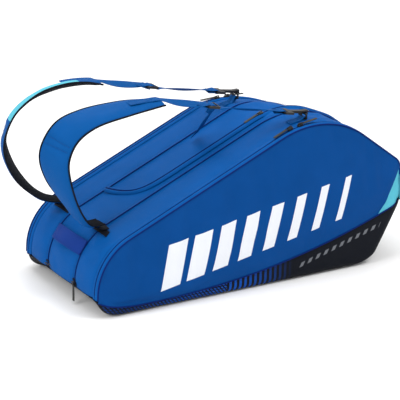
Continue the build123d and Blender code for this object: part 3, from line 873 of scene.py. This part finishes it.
# ================================================================ straps
def strap_stations(path, twists, side):
    """Width direction and outward normal of a strap at each point of its path."""
    frames = []
    for i in range(len(path)):
        before, after = path[max(i - 1, 0)], path[min(i + 1, len(path) - 1)]
        tangent = (Vector(after) - Vector(before)).normalized()
        across = Vector((0, side, 0))
        across = (across - tangent * across.dot(tangent)).normalized()
        outward = tangent.cross(across) * side
        twist = radians(twists[i])
        turned = across * cos(twist) - outward * sin(twist)
        frames.append((turned, outward * cos(twist) + across * sin(twist)))
    return frames


def strap_at(path, frames, t):
    """Centre, width direction, normal and width at t from 0 to 1."""
    centre = Vector(catmull(path, t))
    across = Vector(catmull([f[0] for f in frames], t)).normalized()
    normal = Vector(catmull([f[1] for f in frames], t))
    normal = (normal - across * normal.dot(across)).normalized()
    return centre, across, normal, float(catmull(STRAP_WIDTHS, t))


def make_pad(name, path, twists, side, material):
    """The padded strap: a crowned cover, a mesh lining, a binding round the edge and cross seams."""
    frames = strap_stations(path, twists, side)
    body = name + "_strap"
    count = 120
    cover, lining, edges = [], [], {-1: [], 1: []}
    for t in spread(0, 1, count):
        centre, across, normal, width = strap_at(path, frames, t)
        seam = sum(exp(-((t - place) * 90) ** 2) for place in PAD_SEAMS)
        end = smooth(t, 0, 0.05) * smooth(1 - t, 0, 0.03)
        rise = 8.0 * (0.45 + 0.55 * end) * (1 - 0.4 * seam)
        sink = 3.5 * (0.4 + 0.6 * end)
        half = width / 2 - 1.0
        wave = noise.noise(Vector((t * 14, side, 0.0))) * 0.9
        top, bottom = [], []
        for u in spread(-1, 1, 15):
            crown = (1 - abs(u) ** 3.2)
            quilt = noise.noise(Vector((t * 22, u * 2.2, side * 3))) * 0.7 * crown
            under = noise.noise(Vector((t * 18, u * 2.0, side * 5 + 9))) * 0.6 * crown
            place = centre + across * (u * half)
            top.append((place + normal * (-0.8 + rise * crown + quilt + wave * crown)) * MM)
            bottom.append((place - normal * (0.8 + sink * crown - under)) * MM)
        cover.append(top)
        lining.append(bottom[::-1])
        for edge in (-1, 1):
            edges[edge].append((centre + across * (edge * half) - normal * 0.8) * MM)
    ring = [a + b[1:-1] for a, b in zip(cover, lining)]
    around = len(ring[0])
    pad = grid(name + "_pad", ring, material, closed=True)
    close_ends(pad, around)
    pad.data.materials.append(LOOK["mesh"])
    for face in pad.data.polygons:
        if face.index < (count - 1) * around and face.index % around >= around // 2:
            face.material_index = 1
    subdivide = pad.modifiers.new("smooth", "SUBSURF")
    subdivide.levels = subdivide.render_levels = 1
    settle(pad, body, "blue_fabric", name + "_pad_cover", name + "_pad_lining")
    for edge, label in ((-1, "a"), (1, "b")):
        bind = tube(name + "_binding_" + label, edges[edge], 1.9 * MM, LOOK["binding"], 8)
        settle(bind, body, "black_webbing")
    return frames


def ribbon(name, route, width, body, across, thickness, count, *nodes, look="webbing", turned=None):
    """Flat webbing with rolled edges along a route; turned = (x0, x1, degrees) twists a stretch."""
    section = webbing_section(thickness)
    rows = []
    for t in spread(0, 1, count):
        centre = Vector(catmull(route, t))
        ahead = Vector(catmull(route, min(1, t + 0.02))) - Vector(catmull(route, max(0, t - 0.02)))
        tangent = ahead.normalized()
        side = Vector(across)
        side = (side - tangent * side.dot(tangent)).normalized()
        if turned:
            share = min(max((centre.x - turned[0]) / (turned[1] - turned[0]), 0), 1)
            side = Matrix.Rotation(radians(turned[2]) * sin(pi * share), 3, tangent) @ side
        normal = tangent.cross(side)
        rows.append([(centre + side * (u * width / 2) + normal * h) * MM for u, h in section])
    obj = grid(name, rows, LOOK[look], closed=True)
    close_ends(obj, len(section))
    return settle(obj, body, "blue_webbing", *nodes)


def webbing_section(thickness):
    """Section of webbing: (share of half width, height), flat with rounded edges."""
    half = thickness / 2
    shares = [(-0.97, 0.75), (-0.9, 1.0), (-0.5, 0.95), (0, 0.95), (0.5, 0.95), (0.9, 1.0), (0.97, 0.75)]
    top = [(u, half * share) for u, share in shares]
    return [(-1, 0)] + top + [(1, 0)] + [(u, -v) for u, v in top[::-1]]


class Slide:
    """Where a slide or hook plate lies: its centre, the run's direction, across it and up from it."""

    def __init__(self, centre, towards, start):
        self.centre = Vector(centre)
        self.run = (Vector(towards) - Vector(start)).normalized()
        self.across = Vector((0, 0, 1)).cross(self.run).normalized()
        self.up = self.run.cross(self.across)

    def at(self, along, height, across=0.0):
        """A point near the slide."""
        return tuple(self.centre + self.run * along + self.up * height + self.across * across)


def stitches(name, routes, body, length=2.6, gap=1.6, radius=0.32, look="thread"):
    """Short thread stitches along one or more routes, as one piece."""
    faces, points = [], []
    for route in routes:
        route = [Vector(p) for p in route]
        steps = [0.0]
        for a, b in zip(route, route[1:]):
            steps.append(steps[-1] + (b - a).length)
        count = int(steps[-1] / (length + gap))
        for k in range(count):
            ends = []
            for d in (k * (length + gap), k * (length + gap) + length):
                ends.append(Vector([float(np.interp(d, steps, [p[i] for p in route])) for i in range(3)]))
            add_stitch(points, faces, ends, radius)
    mesh = bpy.data.meshes.new(name)
    mesh.from_pydata([tuple(p * MM) for p in points], [], faces)
    mesh.uv_layers.new(name="UVMap")
    mesh.materials.append(LOOK[look])
    mesh.shade_smooth()
    obj = bpy.data.objects.new(name, mesh)
    scene.collection.objects.link(obj)
    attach(obj, body)


def add_stitch(points, faces, ends, radius):
    """One stitch: a six-sided thread that tapers at both ends."""
    a, b = ends
    along = (b - a).normalized()
    side = along.cross(Vector((0.3, 0.2, 0.9))).normalized()
    other = along.cross(side)
    first = len(points)
    for share, size in ((-0.02, 0.3), (0.2, 1.0), (0.8, 1.0), (1.02, 0.3)):
        for k in range(6):
            angle = pi * k / 3
            points.append(a.lerp(b, share) + (side * cos(angle) + other * sin(angle)) * radius * size)
    for ring in range(3):
        for k in range(6):
            n = (k + 1) % 6
            low, high = first + ring * 6, first + ring * 6 + 6
            faces.append((low + k, low + n, high + n, high + k))
    faces.append(tuple(first + k for k in range(5, -1, -1)))
    faces.append(tuple(first + 18 + k for k in range(6)))


def box_stitch(near, far, half, place):
    """Routes of a box with a cross in it; place(along, across) gives its points."""
    corners = [(near, -half), (far, -half), (far, half), (near, half), (near, -half), (far, half)]
    route = [place(along, across) for along, across in corners]
    return [route, [route[3], route[1]]]


def make_straps():
    """Both shoulder straps with their webbing, slides, hooks, rings and anchors."""
    near = (NEAR_PATH, NEAR_TWISTS, -1, NEAR_LOCK, NEAR_RING, LOOK["pad"])
    far = (FAR_PATH, FAR_TWISTS, 1, FAR_LOCK, FAR_RING, LOOK["far_pad"])
    for name, facts in (("near", near), ("far", far)):
        path, twists, side, lock, (ring_x, ring_y), material = facts
        frames = make_pad(name, path, twists, side, material)
        ring_z = peak_z(ring_x) + 5
        root = (ring_x - HOOK_REACH, ring_y, ring_z + 19)
        slide = Slide(lock, root, path[-1])
        make_upper_webbing(name, path, frames, slide)
        make_lower_webbing(name, slide, Slide(root, root, lock))
        make_ring_tab(name, ring_x, ring_y, ring_z)
        make_anchor(name, path[0])
        for node in (name + "_ladder_lock", name + "_hook"):
            bevelled(node, 0.7, LOOK["plastic"])
        bevelled(name + "_ring", 0.6, LOOK["metal"])
    make_tail(Slide(NEAR_LOCK, (93, -115, 354.3), NEAR_PATH[-1]))


def make_upper_webbing(name, path, frames, slide):
    """Webbing sewn along the top of the pad's end, then looped round the slide's first bar."""
    body = name + "_strap"
    route = []
    for t, lift in ((0.80, 7.6), (0.86, 7.6), (0.92, 7.6), (0.96, 7.6), (1.0, 5.0)):
        centre, across, normal, width = strap_at(path, frames, t)
        route.append(tuple(centre + normal * lift))
    tip = Vector(path[-1])
    route.append(tuple(tip.lerp(slide.centre, 0.3) + slide.up * 1.0))
    route.append(tuple(tip.lerp(slide.centre, 0.65) + slide.up * 0.8))
    loop = [(-17, 2.6), (-11, 3.6), (-7.4, 0.5), (-10, -3.8), (-18, -3.4), (-30, -1.6), (-38, -1.4)]
    route += [slide.at(along, height) for along, height in loop]
    turned = (path[-1][0] + 4, slide.centre.x - 12, 20)
    facts = (WEBBING_WIDTH, body, slide.across, 1.6, 110, name + "_upper_webbing")
    ribbon(name + "_webbing_upper", route, *facts, turned=turned)
    routes = []
    for offset in (-10.5, 10.5):
        line = []
        for t in spread(0.81, 0.98, 14):
            centre, across, normal, width = strap_at(path, frames, t)
            line.append(centre + normal * 8.5 + slide.across * offset)
        routes.append(line)
    centre, across, normal, width = strap_at(path, frames, 0.87)
    ahead = strap_at(path, frames, 0.93)[0] + normal * 8.6
    here = centre + normal * 8.6
    routes.append([here + slide.across * 10.5, ahead, here - slide.across * 10.5])
    routes += box_stitch(-36, -22, 9, lambda along, aside: slide.at(along, 1.9, aside))
    stitches(name + "_webbing_seams", routes, body)
    lines = []
    for place in PAD_SEAMS:
        centre, across, normal, width = strap_at(path, frames, place)
        line = []
        for u in spread(-0.9, 0.9, 12):
            line.append(centre + across * (u * width / 2) + normal * (5.4 - 1.6 * u * u))
        lines.append(line)
    stitches(name + "_pad_cross_seams", lines, body, radius=0.45)


def make_lower_webbing(name, slide, plate):
    """Webbing from the hook up through the slide: under its end bar and over its middle bar."""
    body = name + "_strap"
    hook_loop = [(-30, -1.8), (-16, -2.4), (-9, -3.9), (-4.4, -0.4), (-8, 3.6), (-16, 2.4), (-30, 0.4)]
    lock_loop = [(26, -2.4), (15, -3.7), (9.5, -2.6), (6.0, 1.8), (0, 3.7), (-5.6, 2.2), (-7.5, -1.6)]
    lock_loop.append(SPARE_END)
    route = [plate.at(along, height) for along, height in hook_loop]
    middle = Vector(plate.at(-30, 0.2)).lerp(Vector(slide.at(26, -2)), 0.5)
    route.append(tuple(middle - Vector((0, 0, 1.5))))
    route += [slide.at(along, height) for along, height in lock_loop]
    turned = (slide.centre.x + 14, plate.centre.x - 14, 24)
    facts = (WEBBING_WIDTH, body, slide.across, 1.5, 150, name + "_lower_webbing")
    ribbon(name + "_webbing_lower", route, *facts, turned=turned)
    box = box_stitch(-29, -17, 9, lambda along, aside: plate.at(along, 1.9, aside))
    stitches(name + "_hook_stitch", box, body)


def make_tail(slide):
    """The near strap's spare webbing hangs from its slide to the top of the bag."""
    route = [slide.at(*SPARE_END), (-60, -74, 368), (-54, -44, 345), (-48, -8, 312), (-43, 22, 288)]
    route.append((-41, 32, 281))
    ribbon("near_tail", route, 22, "near_strap", (0.86, 0.1, 0.5), 1.5, 60, "near_webbing_tail")
    hem = [[(-50, 19, 292), (-33, 21, 290)], [(-49, 23, 289), (-32, 25, 287)]]
    stitches("near_tail_hem", hem, "near_strap")


def peak_z(x):
    """Height of the rounded top at x."""
    return PEAK[1] + sqrt(PEAK[2] ** 2 - (x - PEAK[0]) ** 2)


def top_z(x, y):
    """Height of the top near its peak, with its sagging rear."""
    return soft_min(peak_z(x), sag_z(x, y))


def make_ring_tab(name, x, y, z):
    """A folded webbing tab round the ring's lower bar, sewn to the top of the bag."""
    def over(dx, height):
        return (x + dx, y, top_z(x + dx, y) + height)

    route = [over(-36, 2.7), over(-24, 2.9), over(-12, 3.4)]
    route += [(x + dx, y, z + dz) for dx, dz in ((-5, 1.8), (-1, 3.4), (3, 1.6), (3, -1.2), (-1, -2.7))]
    route += [over(-9, 1.8), over(-24, 1.2), over(-35, 1.1)]
    ribbon(name + "_tab", route, 20, "bag", (0, 1, 0), 1.3, 80, name + "_ring_tab")
    box = box_stitch(-33, -15, 7, lambda along, aside: Vector(over(along, 3.9)) + Vector((0, aside, 0)))
    stitches(name + "_tab_stitch", box, "bag")


def make_anchor(name, foot):
    """The strap's sewn root: a black patch on the bag, and the cloth that rises from it to the pad."""
    x, y, z = foot
    start = place_of(x, 148)

    def on_patch(ds, u):
        half = 31 - 0.4 * (ds + 6)
        return skin(start + ds, y - 2 + u * half, 2.2 + 1.4 * (1 - u ** 4))

    rows = sheet(spread(-6, 7, 14), spread(-1, 1, 15), on_patch)
    patch = grid(name + "_anchor_patch", rows, LOOK["binding"], outward_from=(0, 0, 0.05))
    shell(patch, 1.2, 0)
    settle(patch, "bag", "black_webbing", name + "_anchor")
    route = [(x + 10, y, z - 10), (x + 2, y, z - 11), (x - 8, y, z - 9), (x - 16, y, z - 5), (x - 26, y, z)]

    def on_root(t, u):
        return (Vector(catmull(route, t)) + Vector((0, u * (19 - 2 * t), 2.0 * (1 - u * u)))) * MM

    rows = sheet(spread(0, 1, 20), spread(-1, 1, 13), on_root)
    root = grid(name + "_root", rows, LOOK["binding"])
    shell(root, 2.0, 1, 0.0)
    name + "_strap"
    Vector((x + 2, y, z)) * MM
    Vector((x - 14, y, z)) * MM
    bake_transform(root)


# ================================================================ carry handle, hardware, seams
def make_handle():
    """The blue webbing handle on the end, with its sewn and stitched ends."""
    centre_x, centre_z, radius = LEFT_ARC
    drop = HANDLE_Z - centre_z
    lean = atan2(drop, sqrt(radius ** 2 - drop ** 2))
    outward = Vector((-cos(lean), 0, sin(lean)))
    along = Vector((sin(lean), 0, cos(lean)))
    origin = Vector((centre_x - radius * cos(lean), 0, HANDLE_Z))

    def at(y, height, up=0.0):
        return origin + outward * height + along * up + Vector((0, y, 0))

    half = [(-60, 2.0), (-57, 3.6), (-50, 7), (-36, 12), (-18, 15), (0, 16)]
    heights = half + [(-y, h) for y, h in half[-2::-1]]
    route = [tuple(at(y, h)) for y, h in heights]
    ribbon("carry_handle", route, 34, "bag", along, 3.2, 120, "end_handle", "handle_patches", look="handle")
    lines = []
    for up in (-13.5, 13.5):
        edge = [tuple(at(y, h + 1.9, up)) for y, h in heights[:-1]]
        lines.append([catmull(edge, t) for t in spread(0, 1, 60)])
    for sign in (-1, 1):
        lines.append([at(sign * 55, 6.2, up) for up in (-13, 13)])
    stitches("handle_stitching", lines, "bag")


def make_topstitching():
    """Lines of stitches beside the seams of the top strips and over the base seam."""
    lines = []
    for sign in (-1, 1):
        for offset in (-4.5, 4.5):
            lines.append([skin(s, sign * SEAM_Y + offset, 3.4) / MM for s in spread(S_LOW, S_CORNER, 160)])
    stitches("strip_topstitching", lines, "bag", 3.0, 2.0, 0.3)
    lines = []
    for sign in (-1, 1):
        line = []
        for x in spread(LEFT_X + 12, 346, 160):
            z = base_seam(x) - 5
            line.append(Vector((x, sign * (base_half_width(x, z) + 1.0), z)))
        lines.append(line)
    stitches("base_topstitching", lines, "bag", 3.0, 2.0, 0.35, "binding")


def make_hardware():
    """The zipper sliders and pull tabs keep their CAD shapes, with softened edges."""
    for label in ("front_left", "front_right", "rear_left", "rear_right", "middle", "shoe"):
        bevelled(label + "_slider", 0.5, LOOK["metal"])
        bevelled(label + "_puller", 0.6, LOOK["rubber"])


# ================================================================ stage, light and camera
CAMERA_PLACE = (-2.366, -3.934, 1.795)
CAMERA_ANGLES = (59.44, -19.84, 0.70)
CAMERA_LENS = 207.1


def make_stage():
    """A plain white floor, larger than any view."""
    rows = sheet(spread(40, -40, 9), spread(-40, 40, 9), lambda y, x: Vector((x, y, -0.0005)))
    material, _, shader = new_material("white_floor", 0.8, 0.1)
    shader.inputs["Base Color"].default_value = (0.9, 0.9, 0.9, 1)
    grid("stage_floor", rows, material)


def area_light(name, place, size, power, target=(0, 0, 0.18)):
    """A soft square light that points at the bag."""
    light = bpy.data.lights.new(name, "AREA")
    light.size = size
    light.energy = power
    obj = bpy.data.objects.new(name, light)
    obj.location = place
    obj.rotation_euler = (Vector(target) - Vector(place)).to_track_quat("-Z", "Y").to_euler()
    scene.collection.objects.link(obj)


def make_lights():
    """A bright white surround, a large key light at the front, and softer ones left, above and behind."""
    world = bpy.data.worlds.new("studio")
    world.use_nodes = True
    background = world.node_tree.nodes["Background"]
    background.inputs["Color"].default_value = (1, 1, 1, 1)
    background.inputs["Strength"].default_value = 0.8
    scene.world = world
    area_light("key", (1.0, -1.5, 2.4), 1.3, 31)
    area_light("left_fill", (-2.6, -0.6, 1.7), 1.6, 34)
    area_light("top_soft", (-0.4, 0.2, 2.9), 1.8, 26)
    area_light("back_rim", (0.2, 2.2, 1.8), 1.4, 14)
    scene.view_settings.view_transform = "Standard"


def make_camera():
    """A long lens from the front left, looking slightly down."""
    yaw, pitch, roll = [radians(angle) for angle in CAMERA_ANGLES]
    forward = Vector((cos(yaw) * cos(pitch), sin(yaw) * cos(pitch), sin(pitch)))
    right = forward.cross(Vector((0, 0, 1))).normalized()
    up = right.cross(forward)
    side = right * cos(roll) + up * sin(roll)
    above = up * cos(roll) - right * sin(roll)
    data = bpy.data.cameras.new("main")
    data.sensor_width = 36
    data.lens = CAMERA_LENS
    data.clip_end = 50
    camera = bpy.data.objects.new("main", data)
    place = Matrix((side, above, -forward)).transposed().to_4x4()
    place.translation = CAMERA_PLACE
    camera.matrix_world = place
    scene.collection.objects.link(camera)
    scene.camera = camera


# ================================================================ build
for node_name, y_low, y_high, crown_height in (
    ("gusset_front", -ZIP_Y + 8.5, -SEAM_Y, 4.5),
    ("gusset_centre", -SEAM_Y, SEAM_Y, 5.0),
    ("gusset_rear", SEAM_Y, ZIP_Y - 8.5, 4.5),
):
    make_gusset(node_name, y_low, y_high, crown_height)
make_side("front_side", -1, ("front_panel", "front_flap"))
make_side("rear_side", 1, ("rear_panel", "rear_flap"))
make_end_panel()
make_base()
make_welts()
make_top_zips()
make_middle_zip()
make_shoe_zip()
make_inside()
make_straps()
make_handle()
make_topstitching()
make_hardware()
make_stage()
make_lights()
make_camera()
